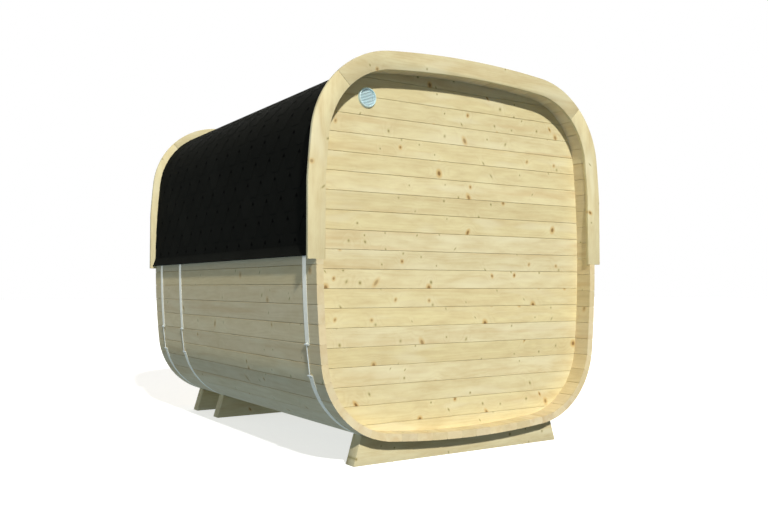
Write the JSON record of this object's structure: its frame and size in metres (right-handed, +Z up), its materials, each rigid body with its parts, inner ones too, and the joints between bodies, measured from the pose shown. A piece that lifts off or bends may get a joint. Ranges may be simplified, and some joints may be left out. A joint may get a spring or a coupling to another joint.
{
  "type": "cube sauna",
  "caption": "Cube-shaped garden sauna: a rounded, bowed stave shell with boarded end walls, a shingle roof cover, arched trims, steel bands and timber cradles.",
  "frame": {"origin": "on the ground, under the middle of the sauna", "axes": "+Y along the shell towards the rear end with the vent, -Y towards the porch with the door, +X to the right as seen from the porch, +Z up"},
  "size_m": [2.305, 2.9, 2.476],
  "materials": {
    "wood": "planed, untreated spruce staves",
    "wall_boards": "planed, untreated spruce boards",
    "door_wood": "planed, untreated spruce",
    "trim_wood": "planed, untreated spruce boards sawn to an arch",
    "shingles": "black bitumen felt shingles with mineral granules",
    "band_steel": "galvanised steel band",
    "hinge_steel": "zinc-plated steel",
    "cradle_wood": "sawn, untreated spruce",
    "vent_plastic": "pale blue-white moulded plastic"
  },
  "bodies": {
    "root": {"floor": "wood", "lower_edge_left": "wood", "lower_edge_right": "wood", "side_wall_left": "wood", "side_wall_right": "wood", "upper_wall_left": "wood", "upper_wall_right": "wood", "upper_edge_left": "wood", "upper_edge_right": "wood", "ceiling": "wood", "rear_wall": "wall_boards", "vent": "vent_plastic", "front_wall_left": "wall_boards", "front_wall_right": "wall_boards", "front_wall_over_door": "wall_boards", "front_wall_sill": "wall_boards", "door_frame": "door_wood", "door_leaf": "door_wood", "door_handle": "door_wood", "door_hinges": "hinge_steel", "rear_trim_left": "trim_wood", "rear_trim_top": "trim_wood", "rear_trim_right": "trim_wood", "front_trim_left": "trim_wood", "front_trim_top": "trim_wood", "front_trim_right": "trim_wood", "roof_left": "shingles", "roof_top": "shingles", "roof_right": "shingles", "eave_left": "shingles", "eave_right": "shingles", "rear_band_upper": "band_steel", "rear_band_lower": "band_steel", "rear_band_tighteners": "band_steel", "middle_band_upper": "band_steel", "middle_band_lower": "band_steel", "middle_band_tighteners": "band_steel", "front_band_upper": "band_steel", "front_band_lower": "band_steel", "front_band_tighteners": "band_steel", "rear_cradle": "cradle_wood", "middle_cradle": "cradle_wood", "front_cradle": "cradle_wood"}
  },
  "joints": []
}
